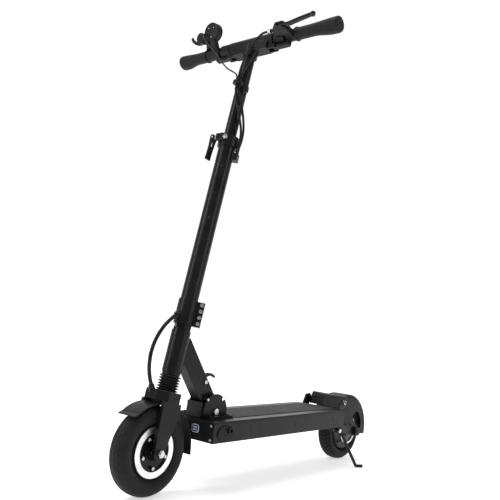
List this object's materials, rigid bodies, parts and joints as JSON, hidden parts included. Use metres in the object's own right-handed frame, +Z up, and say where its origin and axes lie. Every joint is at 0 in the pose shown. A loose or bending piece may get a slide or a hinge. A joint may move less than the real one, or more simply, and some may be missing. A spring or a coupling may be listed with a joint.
{
  "type": "electric kick scooter",
  "caption": "Folding electric kick scooter: long flat deck, hub-motor rear wheel, telescoping stem, folding handlebar halves, display, thumb throttle and brake lever.",
  "frame": {"origin": "centre of the bounding box on the floor", "axes": "+X forward, towards the front wheel; +Y the rider's left; +Z up"},
  "size_m": [1.016, 0.54, 1.2272],
  "materials": {
    "battery": "matte",
    "black_alloy": "powder coated",
    "black_paint": "satin",
    "black_plastic": "matte",
    "cable": "matte",
    "grip_rubber": "matte",
    "grip_tape": "rough",
    "satin_black": "satin",
    "silver": "brushed",
    "steel": "brushed",
    "tyre_rubber": "matte"
  },
  "bodies": {
    "deck": {"deck_shell": "black_alloy", "deck_screws": "steel", "deck_end_plates": "black_plastic", "grip_tape": "grip_tape", "battery_pack": "battery", "motor_controller": "silver", "charge_port_cover": "grip_rubber", "charge_inlet": "black_plastic", "hinge_bracket": "black_alloy", "cam_plates": "black_alloy", "pivot_bolts": "steel", "rear_brackets": "black_alloy", "rear_footrest": "black_plastic", "rear_fender": "black_plastic", "kickstand_bracket": "black_paint"},
    "swing_arm": {"swing_arm": "black_alloy", "rear_axle": "steel"},
    "rear_wheel": {"rear_tyre": "tyre_rubber", "hub_motor": "silver"},
    "kickstand": {"kickstand_leg": "black_paint"},
    "neck": {"neck_frame": "black_alloy", "headset_bearings": "steel"},
    "trigger": {"fold_trigger": "black_paint"},
    "lock": {"lock_bar": "steel"},
    "steer": {"steerer": "black_paint", "headset_rings": "black_paint", "clamp_sleeve": "black_alloy", "column_bolts": "steel", "outer_column": "black_alloy", "seat_collar": "black_alloy", "front_cable": "cable"},
    "qr_lever": {"qr_lever": "satin_black"},
    "fork": {"fork_crown": "black_alloy", "fork_legs": "black_alloy", "front_fender": "black_plastic", "front_axle": "steel", "suspension_spring": "steel", "fork_bellows": "grip_rubber"},
    "front_wheel": {"front_tyre": "tyre_rubber", "front_rim": "silver", "front_hub": "silver", "front_bearings": "steel"},
    "stem": {"inner_column": "satin_black", "t_head": "black_alloy", "cable_clip": "black_plastic", "column_cables": "cable"},
    "left_bar": {"left_bar": "black_alloy", "left_grip": "grip_rubber", "brake_body": "black_plastic", "brake_cables": "cable"},
    "brake_lever": {"brake_lever": "satin_black"},
    "left_collar": {"left_collar": "black_alloy"},
    "right_bar": {"right_bar": "black_alloy", "right_grip": "grip_rubber", "display_housing": "black_plastic", "throttle_housing": "black_plastic", "display_cable": "cable"},
    "throttle": {"throttle_lever": "black_plastic"},
    "mode_button": {"mode_button": "grip_rubber"},
    "right_collar": {"right_collar": "black_alloy"}
  },
  "joints": [
    {"name": "rear_suspension", "type": "hinge", "parent": "deck", "child": "swing_arm", "pos_m": [-0.2925, 0, 0.1075], "axis": [0, 1, 0], "range_deg": [0, 3.5], "stiffness_Nm_per_rad": 60, "springref_deg": -28.65},
    {"name": "rear_wheel_spin", "type": "hinge", "parent": "swing_arm", "child": "rear_wheel", "pos_m": [-0.402, 0, 0.093], "axis": [0, 1, 0], "continuous": true},
    {"name": "kickstand_fold", "type": "hinge", "parent": "deck", "child": "kickstand", "pos_m": [-0.265, 0.081, 0.108], "axis": [0, 1, 0], "range_deg": [0, 62]},
    {"name": "neck_fold", "type": "hinge", "parent": "deck", "child": "neck", "pos_m": [0.227, 0, 0.181], "axis": [0, -1, 0], "range_deg": [0, 84]},
    {"name": "trigger_pull", "type": "hinge", "parent": "neck", "child": "trigger", "pos_m": [0.255, 0, 0.251], "axis": [0, 1, 0], "range_deg": [0, 18], "stiffness_Nm_per_rad": 0.6, "springref_deg": -17.19},
    {"name": "lock_slide", "type": "slide", "parent": "neck", "child": "lock", "axis": [0.6652, 0, 0.7466], "range_m": [0, 0.009]},
    {"name": "steering", "type": "hinge", "parent": "neck", "child": "steer", "pos_m": [0.39674, 0, 0.09767], "axis": [-0.2028, 0, 0.9792], "range_deg": [-45, 45]},
    {"name": "quick_release", "type": "hinge", "parent": "steer", "child": "qr_lever", "pos_m": [0.27034, -0.023, 0.86089], "axis": [-0.9792, 0, -0.2028], "range_deg": [0, 110]},
    {"name": "fork_suspension", "type": "slide", "parent": "steer", "child": "fork", "axis": [-0.2028, 0, 0.9792], "range_m": [0, 0.012], "stiffness_N_per_m": 8000, "springref_m": -0.03, "deforming": ["fork_bellows", "suspension_spring", "front_cable"]},
    {"name": "front_wheel_spin", "type": "hinge", "parent": "fork", "child": "front_wheel", "pos_m": [0.408, 0, 0.1], "axis": [0, 1, 0], "continuous": true},
    {"name": "stem_telescope", "type": "slide", "parent": "steer", "child": "stem", "axis": [-0.2028, 0, 0.9792], "range_m": [-0.1, 0], "deforming": ["column_cables"]},
    {"name": "left_bar_fold", "type": "hinge", "parent": "stem", "child": "left_bar", "pos_m": [0.17966, 0.076, 1.11631], "axis": [0.9792, 0, 0.2028], "range_deg": [-85, 0], "deforming": ["brake_cables"]},
    {"name": "right_bar_fold", "type": "hinge", "parent": "stem", "child": "right_bar", "pos_m": [0.17966, -0.076, 1.11631], "axis": [-0.9792, 0, -0.2028], "range_deg": [-85, 0], "deforming": ["display_cable"]},
    {"name": "left_collar_slide", "type": "slide", "parent": "left_bar", "child": "left_collar", "axis": [0, 1, 0], "range_m": [0, 0.009]},
    {"name": "right_collar_slide", "type": "slide", "parent": "right_bar", "child": "right_collar", "axis": [0, -1, 0], "range_m": [0, 0.009]},
    {"name": "brake_pull", "type": "hinge", "parent": "left_bar", "child": "brake_lever", "pos_m": [0.22865, 0.127, 1.13616], "axis": [-0.2028, 0, 0.9792], "range_deg": [0, 18], "stiffness_Nm_per_rad": 0.8, "springref_deg": -17.19},
    {"name": "throttle_push", "type": "hinge", "parent": "right_bar", "child": "throttle", "pos_m": [0.18785, -0.185, 1.19146], "axis": [0.9945, 0, -0.1045], "range_deg": [0, 30], "stiffness_Nm_per_rad": 0.05, "springref_deg": -17.19},
    {"name": "mode_press", "type": "slide", "parent": "right_bar", "child": "mode_button", "axis": [0.9945, 0, -0.1045], "range_m": [0, 0.0015], "stiffness_N_per_m": 400, "springref_m": -0.001}
  ],
  "couplings": [
    {"joint": "lock_slide", "follows": "trigger_pull", "m_per_rad": 0.028648}
  ]
}
